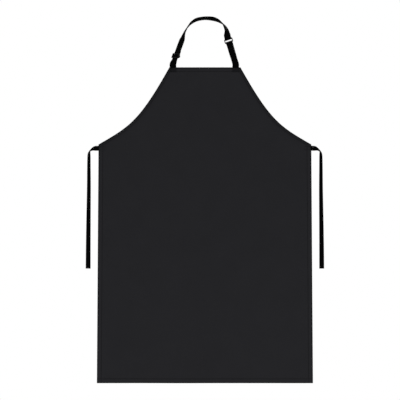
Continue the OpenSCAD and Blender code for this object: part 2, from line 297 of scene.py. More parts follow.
# --- Materials -----------------------------------------------------------------------------------

CLOTH_COLOUR = (0.0168, 0.0168, 0.0188)
WEBBING_COLOUR = (0.0012, 0.0012, 0.0013)
TAPE_COLOUR = (0.0014, 0.0014, 0.0015)
THREAD_COLOUR = (0.0042, 0.0042, 0.0047)
PLASTIC_COLOUR = (0.0012, 0.0012, 0.0013)


def cloth_material():
    """Charcoal cotton twill: steep diagonal ribs crossed by the weft, slubs, and the painted shade
    and painted highlight that the mesh's own shade attribute gives."""
    material, tree, shader = new_material("charcoal_twill", CLOTH_COLOUR, 0.92, 0.04, 0.015, 0.4)
    flat = attribute(tree, "weave").outputs["Vector"]
    split = tree.nodes.new("ShaderNodeSeparateXYZ")
    tree.links.new(flat, split.inputs[0])
    x, z = split.outputs["X"], split.outputs["Y"]
    slub = noise(tree, flat, 220, 2, 0.6)
    lean = maths(tree, "MULTIPLY_ADD", z, 0.55, x)
    lean = maths(tree, "MULTIPLY_ADD", slub, 0.25 * MM, lean)
    ribs = ripple(tree, lean, 0.62 * MM)
    weft = ripple(tree, z, 0.45 * MM)
    weave = maths(tree, "MULTIPLY_ADD", weft, 0.35, maths(tree, "MULTIPLY", ribs, 0.65))
    blotch = noise(tree, flat, 14, 4, 0.55)
    # The shade attribute is painted shade along the edges, armholes and stitch rows, and a faint
    # painted highlight on the side hems.
    shade = attribute(tree, "shade").outputs["Fac"]
    factor = maths(tree, "MULTIPLY_ADD", weave, 0.16, 0.92)
    factor = maths(tree, "MULTIPLY", factor, map_range(tree, blotch, 0.3, 0.7, 0.975, 1.025))
    factor = maths(tree, "MULTIPLY", factor, map_range(tree, slub, 0.3, 0.7, 0.96, 1.04))
    tinted(tree, shader, CLOTH_COLOUR, maths(tree, "MULTIPLY", factor, shade))
    rough = map_range(tree, weave, 0, 1, 0.97, 0.86)
    tree.links.new(rough, shader.inputs["Roughness"])
    bump(tree, shader, weave, 0.35, 0.12 * MM)
    return material


def chevron_material(name, colour, pitch, chevrons, width, wear):
    """A woven tape: herringbone columns across its width, with picks along its length."""
    material, tree, shader = new_material(name, colour, 0.85, 0.015)
    weave = attribute(tree, "weave").outputs["Vector"]
    split = tree.nodes.new("ShaderNodeSeparateXYZ")
    tree.links.new(weave, split.inputs[0])
    across, along = split.outputs["X"], split.outputs["Y"]
    zigzag = maths(tree, "PINGPONG", across, width / chevrons)
    picks = ripple(tree, maths(tree, "ADD", along, zigzag), pitch)
    yarns = ripple(tree, across, width / chevrons / 3)
    height = maths(tree, "MULTIPLY_ADD", picks, 0.6, maths(tree, "MULTIPLY", yarns, 0.4))
    fuzz = noise(tree, weave, 160, 3, 0.6)
    edge = map_range(tree, maths(tree, "ABSOLUTE", across), 0.42 * width, 0.5 * width, 1, wear)
    factor = maths(tree, "MULTIPLY_ADD", height, 0.5, 0.75)
    factor = maths(tree, "MULTIPLY", factor, map_range(tree, fuzz, 0.3, 0.7, 0.85, 1.15))
    tinted(tree, shader, colour, maths(tree, "MULTIPLY", factor, edge))
    tree.links.new(map_range(tree, height, 0, 1, 0.92, 0.7), shader.inputs["Roughness"])
    bump(tree, shader, height, 0.5, 0.18 * MM)
    return material


def thread_material():
    """Spun thread: a tight twist along each stitch"""
    material, tree, shader = new_material("sewing_thread", THREAD_COLOUR, 0.7, 0.08)
    weave = attribute(tree, "weave").outputs["Vector"]
    split = tree.nodes.new("ShaderNodeSeparateXYZ")
    tree.links.new(weave, split.inputs[0])
    twist = maths(tree, "MULTIPLY_ADD", split.outputs["X"], 0.8, split.outputs["Y"])
    ply = ripple(tree, twist, 0.5 * MM)
    tinted(tree, shader, THREAD_COLOUR, maths(tree, "MULTIPLY_ADD", ply, 0.5, 0.7))
    tree.links.new(map_range(tree, ply, 0, 1, 0.7, 0.5), shader.inputs["Roughness"])
    bump(tree, shader, ply, 0.4, 0.08 * MM)
    return material


def plastic_material():
    """Satin moulded plastic: a fine spark-eroded grain, rubbed a little smoother in places"""
    material, tree, shader = new_material("moulded_plastic", PLASTIC_COLOUR, 0.5, 0.14)
    place = tree.nodes.new("ShaderNodeTexCoord").outputs["Object"]
    grain = noise(tree, place, 2600, 3, 0.6)
    rubbed = noise(tree, place, 180, 2, 0.5)
    tinted(tree, shader, PLASTIC_COLOUR, map_range(tree, rubbed, 0.3, 0.7, 0.8, 1.3))
    tree.links.new(map_range(tree, rubbed, 0.35, 0.7, 0.55, 0.36), shader.inputs["Roughness"])
    bump(tree, shader, grain, 0.25, 0.05 * MM)
    return material


# --- Meshes --------------------------------------------------------------------------------------


def add_mesh(name, points, faces, material, weave=None, shade=None):
    mesh = bpy.data.meshes.new(name)
    mesh.from_pydata(np.asarray(points).tolist(), [], faces)
    if weave is not None:
        data = mesh.attributes.new("weave", "FLOAT_VECTOR", "POINT").data
        data.foreach_set("vector", np.asarray(weave, np.float32).ravel())
    if shade is not None:
        data = mesh.attributes.new("shade", "FLOAT", "POINT").data
        data.foreach_set("value", np.asarray(shade, np.float32).ravel())
    made = bmesh.new()
    made.from_mesh(mesh)
    bmesh.ops.recalc_face_normals(made, faces=made.faces)
    made.to_mesh(mesh)
    made.free()
    mesh.polygons.foreach_set("use_smooth", [True] * len(mesh.polygons))
    mesh.materials.append(material)
    thing = bpy.data.objects.new(name, mesh)
    bpy.context.scene.collection.objects.link(thing)
    return thing


# --- Tapes and webbing ---------------------------------------------------------------------------
# A tape is a pair of arrays: centre points, and the directions across it.


def curve_at(points, k, t):
    """A point on the smooth curve through the points, a share t of the way from k to k + 1"""
    a, b, c = points[max(k - 1, 0)], points[k], points[k + 1]
    d = points[min(k + 2, len(points) - 1)]
    squared = 2 * a - 5 * b + 4 * c - d
    cubed = 3 * b - a - 3 * c + d
    return (2 * b + (c - a) * t + squared * t * t + cubed * t**3) / 2


def roll_at(rolls, k, t):
    """The roll a share t of the way from k to k + 1. It eases through the points and never swings
    past them, so a stretch between equal rolls stays flat."""
    steps = np.diff(rolls)
    turning = steps[:-1] * steps[1:] > 0
    inner = np.zeros(len(turning))
    inner[turning] = (2 * steps[:-1] * steps[1:])[turning] / (steps[:-1] + steps[1:])[turning]
    slopes = np.concatenate([[0], inner, [0]])
    eased = slopes[k] * t * (1 - t) ** 2 - slopes[k + 1] * t * t * (1 - t)
    return rolls[k] + steps[k] * smooth(t) + eased


def runs(centres):
    """The direction of the line through the centres at each of them"""
    padded = np.concatenate([centres[:1], centres, centres[-1:]])
    return unit(padded[2:] - padded[:-2])


def across(run, roll):
    """The direction across a tape that runs along run, rolled from facing the front"""
    side = unit(np.cross(run, [0, 1, 0]))
    front = np.cross(run, side)
    roll = np.radians(roll)[..., None]
    return np.cos(roll) * side - np.sin(roll) * front


def stations(route, steps):
    """Centres and across directions along a route of x, y, z in metres and roll in degrees"""
    route = np.asarray(route, float)
    places, rolls = [], []
    for k in range(len(route) - 1):
        count = steps + 1 if k == len(route) - 2 else steps
        for t in np.arange(count) / steps:
            places.append(curve_at(route[:, :3], k, t))
            rolls.append(roll_at(route[:, 3], k, t))
    centres = np.array(places)
    return centres, across(runs(centres), np.array(rolls))


def shifted(tape, distance):
    """The same tape, distance out from its own face"""
    centres, wide = tape
    return centres + distance * np.cross(runs(centres), wide), wide


def joined(*tapes):
    return np.concatenate([t[0] for t in tapes]), np.concatenate([t[1] for t in tapes])


def part_of(tape, start=None, end=None, step=None):
    return tape[0][start:end:step], tape[1][start:end:step]


def bar_turn(centre, axes, r, front, back, run_in, run_out):
    """A tape that comes in at front, turns round a bar with radius r and leaves at back"""
    steps = 12
    share = np.arange(steps) / steps
    arrive = np.stack([front + (r - front) * smooth(share), (share - 1) * run_in], 1)
    angle = np.radians(np.linspace(0, 180, 17))
    turn = np.stack([r * np.cos(angle), r * np.sin(angle)], 1)
    share = np.arange(1, steps + 1) / steps
    leave = np.stack([(back + r) * smooth(share * 1.5) - r, -share * run_out], 1)
    profile = np.concatenate([arrive, turn, leave])
    centres = centre + profile[:, :1] * axes[1] + profile[:, 1:] * axes[2]
    return centres, np.tile(axes[0], (len(centres), 1))


def fitting_axes(along, roll):
    """The across, out and along directions of a fitting on a straight stretch of strap"""
    wide = across(along, np.array(roll, float))
    return wide, np.cross(along, wide), along


def evened(tape, step):
    """The same tape with stations about step apart"""
    centres, wide = tape
    spans = np.linalg.norm(np.diff(centres, axis=0), axis=1)
    keep = np.concatenate([[True], spans > 1e-7])
    centres, wide = centres[keep], wide[keep]
    gone = np.concatenate([[0], np.cumsum(np.linalg.norm(np.diff(centres, axis=0), axis=1))])
    at = np.linspace(0, gone[-1], max(2, int(round(gone[-1] / step)) + 1))
    centres = np.stack([np.interp(at, gone, centres[:, k]) for k in range(3)], 1)
    wide = np.stack([np.interp(at, gone, wide[:, k]) for k in range(3)], 1)
    return centres, unit(wide)


def tape_section(width, thick, ribs, rib_depth):
    """Points round a woven tape's section: two ribbed faces between rounded selvedges"""
    half_w, half_t = width / 2, thick / 2
    turn = 1.3 * half_t
    edge = half_w - turn * (1 - np.cos(np.radians([30, 60, 90])))
    count = max(9, ribs * 4 + 1)
    inner = np.linspace(half_w - turn * 1.4, turn * 1.4 - half_w, count)
    x = np.concatenate([[half_w], edge, inner, -edge[::-1], [-half_w]])
    reach = np.clip((half_w - np.abs(x)) / turn, 0, 1)
    high = half_t * np.sqrt(1 - (1 - reach) ** 2)
    groove = 0.5 - 0.5 * np.cos(2 * math.pi * ribs * (x / width + 0.5))
    high -= rib_depth * (1 - groove) * (reach >= 1)
    front = np.stack([x, high], 1)
    back = np.stack([x[::-1], -high[::-1]], 1)[1:-1]
    return np.concatenate([front, back])


def tape_mesh(name, tape, width, thick, material, ribs=0, rib_depth=0.0):
    """A woven tape along its stations, closed at both ends"""
    centres, wide = tape
    run = runs(centres)
    wide = unit(wide - (wide * run).sum(1, keepdims=True) * run)
    out = np.cross(run, wide)
    section = tape_section(width, thick, ribs, rib_depth)
    n, m = len(section), len(centres)
    points = (
        centres[:, None]
        + section[None, :, :1] * wide[:, None]
        + section[None, :, 1:] * out[:, None]
    )
    gone = np.concatenate([[0], np.cumsum(np.linalg.norm(np.diff(centres, axis=0), axis=1))])
    weave = np.zeros((m, n, 3))
    weave[..., 0] = section[None, :, 0]
    weave[..., 1] = gone[:, None]
    faces = []
    for i in range(m - 1):
        for j in range(n):
            a, b = i * n + j, i * n + (j + 1) % n
            faces.append((a, b, b + n, a + n))
    # Each end is closed with a row of faces that run from the front to the back.
    half = n // 2
    for first in (0, (m - 1) * n):
        for j in range(half):
            low, high = (n - j) % n, (n - j - 1) % n
            ring = [first + j, first + j + 1, first + high]
            if low != j:
                ring.append(first + low)
            if len(set(ring)) > 2:
                faces.append(tuple(dict.fromkeys(ring)))
    return add_mesh(
        name, placed(points.reshape(-1, 3)), faces, material, weave.reshape(-1, 3)
    )


# --- The neck strap's route ----------------------------------------------------------------------

LEG_FOOT = np.array([LEFT_FOOT_X, STRAP_Y, 10 * MM])
LEG_STEP = np.array([5.2, 4.55, 14.3]) * MM
LEG_STEPS = 5
LEG_ROLL = 42
LEG_START_ROLL = 9
ARCH = np.array(
    [
        [-66, 31, 95.8, 68],
        [-61.6, 36, 107.5, 81],
        [-53.5, 44, 121.5, 90],
        [-42, 60, 135.3, 103],
        [-25, 78, 145.5, 114],
        [0, 88, 150, 115],
        [25, 84, 148, 121],
        [42, 72, 142, 109],
        [56, 57, 131.5, 87],
        [63.2, 43, 121, 68],
        [67.5, 31, 108, 50],
    ]
)

RING_AT = np.array([71.4, 24, 80.5]) * MM
RING_ALONG = unit(np.array([6, -5, -20.0]))
RING_ROLL = -10
RING_LOW_ROLL = -20
RING_FOOT_ROLL = -7
RING_PITCH = 11.6 * MM
RING_WIRE = 2.6 * MM
RING_CLEAR = 0.6 * MM
RING_CORNER = 1.9 * MM
RING_TURN = 3.2 * MM
RING_RUN = 10 * MM
RING_TAIL = 24 * MM
RING_LEG_HIGH = 41 * MM
RING_LEG_LOW = 62 * MM

SLIDER_STEP = 1.68
LAYER_STEP = 5
SLIDER_BAR = 2.2 * MM
SLIDER_HIGH = 15 * MM
SLIDER_THICK = 2 * MM
SLIDER_CHEEK = 2.7 * MM
SLIDER_CLEAR = 0.3 * MM
SLIDER_BAR_HIGH = 2.2 * MM
SLIDER_BEVEL = 0.35 * MM
SEWN_GAP = 0.2 * MM
SLIDER_TURN = SLIDER_BAR / 2 + SEWN_GAP + STRAP_THICK / 2
SLIDER_TAIL = 18 * MM

LEG_ALONG = unit(LEG_STEP)
SLIDER_AXES = fitting_axes(LEG_ALONG, LEG_ROLL)
SLIDER_AT = LEG_FOOT + SLIDER_STEP * LEG_STEP
RING_AXES = fitting_axes(RING_ALONG, RING_ROLL)
STRAP_START_Z = 1.5 * MM
STRAP_STEPS = 6


def strap_route():
    """The outer layer, from the bib's top edge up the left leg and round to the ring"""
    leg = [
        [*(LEG_FOOT + k * LEG_STEP), LEG_ROLL if k else LEG_START_ROLL]
        for k in range(LEG_STEPS + 1)
    ]
    arch = ARCH * [MM, MM, MM, 1]
    entry = RING_AT - (RING_PITCH / 2 + RING_RUN) * RING_ALONG
    start = [LEFT_FOOT_X, STRAP_Y, STRAP_START_Z, 0]
    return stations([start, *leg, *arch, [*entry, RING_ROLL]], STRAP_STEPS)


def foot(x, wide):
    """The end that is sewn behind the bib, from its cut edge up to the bib's top edge"""
    count = 6
    z = np.linspace(-FOOT_LENGTH, 0, count)
    centres = np.stack([np.full(count, x), np.full(count, STRAP_Y), z], 1)
    return centres, np.tile(wide, (count, 1))


def bend_at_bib(strap):
    """Bakes the strap's placing into its mesh."""
    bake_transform(strap)


def make_neck_strap(webbing):
    outer = strap_route()
    turn = bar_turn(
        RING_AT - RING_PITCH / 2 * RING_ALONG, RING_AXES, RING_TURN, 0, -LAYER_SHIFT, RING_RUN, RING_RUN
    )
    inner = shifted(outer, -LAYER_SHIFT)
    first_inner = STRAP_STEPS * (1 + LAYER_STEP)
    back = part_of(inner, len(inner[0]) - 2, first_inner - 1, -1)
    tape = joined(foot(LEFT_FOOT_X, outer[1][0]), outer, part_of(turn, 1), back)
    strap = strap_mesh("neck_webbing", tape, webbing)
    bend_at_bib(strap)
    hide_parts("neck_strap", "left_strap_foot")

    # The rest of the inner layer, down to the slider, round its middle bar and back up
    layer_top = LEG_FOOT + LAYER_STEP * LEG_STEP
    bar = SLIDER_AT - (LAYER_SHIFT + SLIDER_TURN) * SLIDER_AXES[1]
    down = (SLIDER_AXES[0], SLIDER_AXES[1], -LEG_ALONG)
    tail_back = SLIDER_TURN - STRAP_THICK - SEWN_GAP
    loop = bar_turn(bar, down, SLIDER_TURN, SLIDER_TURN, tail_back, SLIDER_TAIL, SLIDER_TAIL)
    top = layer_top - LAYER_SHIFT * SLIDER_AXES[1]
    low = loop[0][0]
    lead = np.linspace(top, low, 12)[:-1]
    tape = joined((lead, np.tile(SLIDER_AXES[0], (len(lead), 1))), loop)
    slack = strap_mesh("adjusting_webbing", tape, webbing)
    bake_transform(slack)
    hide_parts("strap_slack", "strap_end_loop")


def make_ring_strap(webbing):
    """The short strap from the bib's right corner, up round the ring and down behind itself"""
    leg = stations(
        [
            [*(RING_AT + (RING_PITCH / 2 + RING_RUN) * RING_ALONG), RING_ROLL],
            [*(RING_AT + RING_LEG_HIGH * RING_ALONG), RING_ROLL],
            [*(RING_AT + RING_LEG_LOW * RING_ALONG), RING_LOW_ROLL],
            [RIGHT_FOOT_X, STRAP_Y, 9 * MM, RING_FOOT_ROLL],
            [RIGHT_FOOT_X, STRAP_Y, STRAP_START_Z, 0],
        ],
        STRAP_STEPS * 2,
    )
    up_axes = (RING_AXES[0], RING_AXES[1], -RING_ALONG)
    turn = bar_turn(
        RING_AT + RING_PITCH / 2 * RING_ALONG, up_axes, RING_TURN, 0, -LAYER_SHIFT, RING_RUN, RING_TAIL
    )
    leg = part_of(leg, step=-1)
    tape = joined(foot(RIGHT_FOOT_X, leg[1][0]), leg, part_of(turn, 1))
    strap = strap_mesh("ring_webbing", tape, webbing)
    bend_at_bib(strap)
    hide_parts("ring_strap", "right_strap_foot")


def strap_mesh(name, tape, webbing):
    tape = evened(tape, WEBBING_STEP)
    return tape_mesh(
        name, tape, STRAP_WIDTH, STRAP_THICK, webbing, WEBBING_RIBS, RIB_DEPTH
    )


# --- The waist ties, which are the free cords ----------------------------------------------------

# The right tie's route, from the panel's side and the middle of its sewn end; the left mirrors it.
TIE_ROOT = [
    [1, 0, 0, 0],
    [7, 0, -0.2, 7],
    [13, 0, -1.1, 30],
    [19.5, 0, -3.7, 60],
    [25.3, 0, -7.7, 75],
]
TIE_FALL = [
    [26.8, 0, -9.6, 75],
    [28.4, 0, -17, 57],
    [28.8, 0.2, -30, 50],
    [29, 0.7, -60, 46],
    [29, 1.2, -110, 41],
    [29.6, 1.2, -170, 35],
    [30.3, 0.2, -230, 28],
    [30.9, -0.8, -295, 20],
    [31.3, -0.3, -362, 12],
]


def tie_points(points):
    """A route of the right tie, in metres in the bib's frame"""
    points = np.array(points, float)
    points[:, :3] = points[:, :3] * MM + [WAIST[0], TIE_Y, TIE_Z]
    return points


def mirrored(tape, side):
    """The tape on its own side. Mirroring turns the across direction over, so that is undone."""
    if side == RIGHT:
        return tape
    flip = np.array([-1, 1, 1])
    return tape[0] * flip, tape[1] * flip * -1


def tab_y(x):
    """The middle of a tie's sewn end: on the single cloth, then up over the side hem"""
    step = HEM - TAB_SINK
    inner = HEM_WIDTHS["side"] + 1 * MM - (WAIST[0] - np.abs(x))
    return TIE_Y - step + step * smooth(inner / (4 * MM))


def make_tie(side, material):
    name = "left" if side == LEFT else "right"
    root = stations(tie_points(TIE_ROOT), 6)
    fall = stations(tie_points(TIE_FALL), 12)
    x = np.linspace(WAIST[0] - TAB_LENGTH, WAIST[0], TAB_STATIONS)
    tab_centres = np.stack([x, tab_y(x), np.full(TAB_STATIONS, TIE_Z)], 1)
    tab = (tab_centres, np.tile(root[1][0], (TAB_STATIONS, 1)))
    tab_tape = mirrored(joined(tab, part_of(root, 0, LOOSE_FROM + 1)), side)
    free_tape = mirrored(joined(part_of(root, LOOSE_FROM), fall), side)

    tab_tape = evened(tab_tape, TIE_END_STEP)
    tab_piece = tape_mesh(f"{name}_tie_end", tab_tape, TIE_WIDTH, TIE_THICK, material)
    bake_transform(tab_piece)
    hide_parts(f"{name}_tie_tab", f"{name}_tie_root")

    free_tape = evened(free_tape, TIE_STEP)
    tie = tape_mesh(f"{name}_tie", free_tape, TIE_WIDTH, TIE_THICK, material)
    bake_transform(tie)
    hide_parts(f"{name}_tie_fall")


# --- The panel -----------------------------------------------------------------------------------


def bezier(points, t):
    t = np.asarray(t)[:, None]
    a, b, c, d = points
    return (1 - t) ** 3 * a + 3 * t * (1 - t) ** 2 * b + 3 * t * t * (1 - t) * c + t**3 * d


ARMHOLE_LINE = bezier(ARMHOLE, np.linspace(0, 1, 241))
SIDE_SLOPE = (HEM_HALF - WAIST[0]) / (HEIGHT + WAIST[1])


def half_width(z):
    curve = np.interp(-z, -ARMHOLE_LINE[:, 1], ARMHOLE_LINE[:, 0])
    return np.where(z > WAIST[1], curve, WAIST[0] + (WAIST[1] - z) * SIDE_SLOPE)


def distance_to_line(x, z, line):
    """How far each point is from a line of short straight pieces, in x and z"""
    best = np.full(x.shape, np.inf)
    for (ax, az), (bx, bz) in zip(line[:-1], line[1:]):
        dx, dz = bx - ax, bz - az
        t = np.clip(((x - ax) * dx + (z - az) * dz) / (dx * dx + dz * dz), 0, 1)
        best = np.minimum(best, np.hypot(x - ax - t * dx, z - az - t * dz))
    return best


def edge_distances(x, z):
    """How far each point of the panel is from each kind of edge"""
    x = np.abs(x)
    side = np.array([WAIST, [HEM_HALF, -HEIGHT]])
    return {
        "bib": distance_to_line(x, z, np.array([[0, 0], ARMHOLE[0]])),
        "armhole": distance_to_line(x, z, ARMHOLE_LINE[::4]),
        "side": distance_to_line(x, z, side),
        "bottom": HEIGHT + z,
    }


def waves(value, *parts):
    """A sum of sines, each given as wavelength, height and shift"""
    return sum(high * np.sin(2 * math.pi * value / long + shift) for long, high, shift in parts)


# How far below the bib's top the folds start, and over what depth they grow
FOLDS_FROM = 0.285
FOLDS_FADE = 0.62
# The folds lean a little. Each has a wavelength in metres, a height in millimetres and a shift.
FOLD_LEAN = 0.04
FOLDS = [(0.31, 5.2, 0.6), (0.187, 2.3, 2.2), (0.47, 2.4, -1.0)]
# How far the bib bellies forward between its top and the waist, and over what width
BELLY = 2.2 * MM
BELLY_WIDTH = 0.24
# Over what depth that grows from the bib's top, at what depth it has gone, and over what depth
# it fades
BELLY_GROWS = 0.09
BELLY_ENDS = 0.31
BELLY_FADES = 0.2


def drape(x, z):
    """How far the hanging cloth stands back from flat. It is flat where the straps and the ties
    hold it, and hangs in shallow folds below."""
    low = smooth((-z - FOLDS_FROM) / FOLDS_FADE)
    folds = waves(x + FOLD_LEAN * z, *FOLDS) * MM
    bib = smooth(-z / BELLY_GROWS) * smooth((BELLY_ENDS + z) / BELLY_FADES)
    belly = BELLY * np.cos(math.pi * np.clip(x / BELLY_WIDTH, -0.5, 0.5)) * bib
    return low * folds - belly


def box_mask(x, z, centre, size, soft):
    """1 inside a box, fading to 0 over soft outside it"""
    out_x = np.abs(x - centre[0]) - size[0] / 2
    out_z = np.abs(z - centre[1]) - size[1] / 2
    return smooth(1 - np.maximum(out_x, out_z) / soft)


FOOT_CENTRES = [(x, -FOOT_LENGTH / 2) for x in (LEFT_FOOT_X, RIGHT_FOOT_X)]
TAB_CENTRES = [(side * (WAIST[0] - TAB_LENGTH / 2), TIE_Z) for side in (LEFT, RIGHT)]


def seam_distances(edges):
    """How far each point is from the nearest row of stitches along a hem"""
    rows = [np.abs(edges[e] - (HEM_WIDTHS[e] - SEAM_INSET)) for e in HEM_WIDTHS]
    return np.minimum.reduce(rows)


def hem_share(edges):
    """0 on the single cloth and 1 on the turned hems"""
    shares = [smooth((HEM_WIDTHS[e] - edges[e]) / (0.5 * MM) + 0.5) for e in HEM_WIDTHS]
    return np.maximum.reduce(shares)


def cloth_faces(x, z):
    """The front and back of the cloth, as y, and its edge distances"""
    edges = edge_distances(x, z)
    nearest = np.minimum.reduce(list(edges.values()))
    seam = seam_distances(edges)
    hem = hem_share(edges)
    stitched = np.exp(-((seam / (0.7 * MM)) ** 2)) * hem
    gather = np.exp(-((seam / (5 * MM)) ** 2))
    along = x + 1.7 * z
    pucker = waves(along, (0.0131, 0.10, 0), (0.0197, 0.09, 1.3), (0.0317, 0.08, 0.4)) * MM * gather
    base = drape(x, z) + pucker
    raised = np.zeros_like(x)
    for centre in FOOT_CENTRES:
        raised += box_mask(x, z, centre, (STRAP_WIDTH, FOOT_LENGTH), 1.6 * MM)
    for centre in TAB_CENTRES:
        raised += box_mask(x, z, centre, (TAB_LENGTH, TIE_WIDTH), 1.6 * MM)
    front = base + 0.28 * MM * stitched - 0.12 * MM * hem - 0.2 * MM * raised
    lip = np.exp(-(((hem - 1) / 0.3) ** 2)) * 0.1 * MM
    back = base + CLOTH + HEM * hem - 0.22 * MM * stitched + lip * hem
    roll = (CLOTH + HEM) / 2
    reach = np.clip(nearest / roll, 0, 1)
    round_off = np.sqrt(1 - (1 - reach) ** 2)
    middle = (front + back) / 2
    front = middle + (front - middle) * round_off
    back = middle + (back - middle) * round_off
    return front, back, edges, nearest, seam, hem


def spaced(features, end, finest, growth):
    """Distances from 0 to end, finest apart at the features and wider apart between them"""
    at = [0.0]
    while at[-1] < end:
        far = min(abs(at[-1] + finest / 2 - f) for f in features)
        at.append(at[-1] + finest + growth * far)
    return np.array(at) * end / at[-1]


# The mesh is fine along the edges and at the waist, and coarse in the middle.
EDGE_BAND = 24 * MM
FINEST_STEP = 0.3 * MM
STEP_GROWTH = 0.36
ROW_STEP = 4.2 * MM
WAIST_STEP = 1.6 * MM
MIDDLE_COLUMNS = 91


def panel_grid():
    """Rows and columns over the panel, close together along its edges, hems and seams"""
    folds = list(HEM_WIDTHS.values())
    seams = [width - SEAM_INSET for width in folds]
    near = spaced([0, *seams, *folds], EDGE_BAND, FINEST_STEP, STEP_GROWTH)
    near_waist = WAIST[1] - np.arange(-6 * MM, 30 * MM, WAIST_STEP)
    between = np.arange(near[-1], HEIGHT - near[-1], ROW_STEP)[1:]
    rows = np.concatenate([-near, near - HEIGHT, -between, near_waist, [WAIST[1]]])
    rows = np.sort(rows)[::-1]
    rows = rows[np.concatenate([[True], np.diff(rows) < -0.04 * MM])]
    edge = half_width(rows)
    slope = np.gradient(ARMHOLE_LINE[:, 0], -ARMHOLE_LINE[:, 1])
    slope = np.interp(-rows, -ARMHOLE_LINE[:, 1], slope)
    fade = smooth((rows - WAIST[1] + 14 * MM) / (14 * MM))
    slant = 1 + (np.hypot(1, slope) - 1) * np.where(rows > WAIST[1], 1, fade)
    middle = np.linspace(1, -1, MIDDLE_COLUMNS + 2)[1:-1]
    inner = (edge - near[-1] * slant)[:, None]
    right = edge[:, None] - near * slant[:, None]
    x = np.concatenate([right, inner * middle, -right[:, ::-1]], axis=1)
    return x, np.tile(rows[:, None], (1, x.shape[1]))


def cloth_shade(x, z, edges, nearest, seam, hem):
    """How light the cloth is against its plain colour: painted shade along the folded edge, along the
    armholes and in the rows of stitches, a faint painted highlight on the doubled side hems, and darker
    over the sewn strap feet"""
    shade = np.ones_like(x)
    doubled = smooth((nearest - 2.0 * MM) / (2.5 * MM))
    side = smooth((HEM_WIDTHS["side"] + 3 * MM - edges["side"]) / (3 * MM))
    armhole = np.exp(-((edges["armhole"] / (11 * MM)) ** 2))
    # A faint painted highlight on the side hems, clear of the edge
    shade += 0.03 * side * doubled
    # Painted shade along the armholes
    shade *= 1 - 0.2 * armhole
    for centre in FOOT_CENTRES:
        shade *= 1 - 0.35 * box_mask(x, z, centre, (STRAP_WIDTH, FOOT_LENGTH), 4 * MM)
    # Painted shade in the grooves of the rows of stitches
    shade *= 1 - 0.24 * np.exp(-((seam / (1.5 * MM)) ** 2)) * hem
    # Painted shade along the folded, rolled edge
    shade *= 1 - 0.85 * (1 - smooth((nearest - 1.2 * MM) / (2.4 * MM)))
    return shade


def make_panel(twill):
    x, z = panel_grid()
    front, back, edges, nearest, seam, hem = cloth_faces(x, z)
    shade = cloth_shade(x, z, edges, nearest, seam, hem)
    rows, columns = x.shape
    number = np.arange(rows * columns).reshape(rows, columns)
    rim = np.zeros((rows, columns), bool)
    rim[[0, -1], :] = True
    rim[:, [0, -1]] = True
    behind = np.zeros_like(number)
    behind[~rim] = rows * columns + np.arange((~rim).sum())
    behind[rim] = number[rim]
    points = np.stack([x, front, z], -1).reshape(-1, 3)
    backs = np.stack([x, back, z], -1)[~rim]
    corners = [number[:-1, :-1], number[:-1, 1:], number[1:, 1:], number[1:, :-1]]
    turned = [behind[:-1, :-1], behind[1:, :-1], behind[1:, 1:], behind[:-1, 1:]]
    faces = np.stack([c.ravel() for c in corners], 1).tolist()
    faces += np.stack([c.ravel() for c in turned], 1).tolist()
    weave = np.stack([x, z, np.zeros_like(x)], -1)
    weave = np.concatenate([weave.reshape(-1, 3), weave[~rim]])
    shade = np.concatenate([shade.ravel(), shade[~rim]])
    panel = add_mesh(
        "apron_cloth", placed(np.concatenate([points, backs])), faces, twill, weave, shade
    )
    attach(panel, "panel")
    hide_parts("panel", "bib_hem", "bottom_hem")
    for side in ("left", "right"):
        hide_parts(f"{side}_armhole_hem", f"{side}_side_hem")
    return panel


# --- Stitches ------------------------------------------------------------------------------------


def stitch_mesh(name, centres, along, out, long, wide, thread):
    """Separate stitches: each a short rounded bar of thread that dips in at both ends"""
    centres = np.asarray(centres)
    count = len(centres)
    share = np.array([-1, -0.8, 0, 0.8, 1.0])
    fat = np.array([0.35, 0.85, 1, 0.85, 0.35])
    sink = np.array([0.9, 0.25, 0, 0.25, 0.9])
    angle = np.radians(np.arange(6) * 60)
    side = np.cross(along, out)
    long = np.broadcast_to(long, count)[:, None, None, None]
    section_w = (fat[:, None] * np.cos(angle))[None, :, :, None] * wide / 2
    section_t = (fat[:, None] * np.sin(angle) * 0.75)[None, :, :, None] * wide / 2
    lift = (-sink[:, None] * wide * 0.5)[None, :, :, None]
    points = (
        centres[:, None, None]
        + share[None, :, None, None] * long / 2 * along[:, None, None]
        + section_w * side[:, None, None]
        + (section_t + lift) * out[:, None, None]
    )
    rings, n = len(share), len(angle)
    faces = []
    for i in range(rings - 1):
        for j in range(n):
            a, b = i * n + j, i * n + (j + 1) % n
            faces.append((a, b, b + n, a + n))
    faces.append(tuple(range(n)))
    faces.append(tuple((rings - 1) * n + j for j in range(n - 1, -1, -1)))
    each = rings * n
    all_faces = [tuple(v + k * each for v in face) for k in range(count) for face in faces]
    weave = np.zeros(points.shape)
    weave[..., 0] = np.arange(n)[None, None, :] * wide / 2
    weave[..., 1] = share[None, :, None] * long[..., 0] / 2
    return add_mesh(
        name, placed(points.reshape(-1, 3)), all_faces, thread, weave.reshape(-1, 3)
    )


def steps_along(line, pitch):
    """Middles of stitches along a line in x and z, and the direction of each"""
    line = np.asarray(line, float)
    gone = np.concatenate([[0], np.cumsum(np.linalg.norm(np.diff(line, axis=0), axis=1))])
    count = max(1, int(round(gone[-1] / pitch)))
    at = (np.arange(count) + 0.5) / count * gone[-1]
    ends = [np.stack([np.interp(at + d, gone, line[:, k]) for k in (0, 1)], 1) for d in (-5e-4, 5e-4)]
    return (ends[0] + ends[1]) / 2, unit(ends[1] - ends[0])


def inset_line(line, distance):
    """The line moved sideways by distance, towards the middle of the panel"""
    d = unit(np.gradient(line, axis=0))
    return line + distance * np.stack([d[:, 1], -d[:, 0]], 1)


# How far the armhole runs out for each metre down, at the bib's top
ARMHOLE_LEAN = 0.54


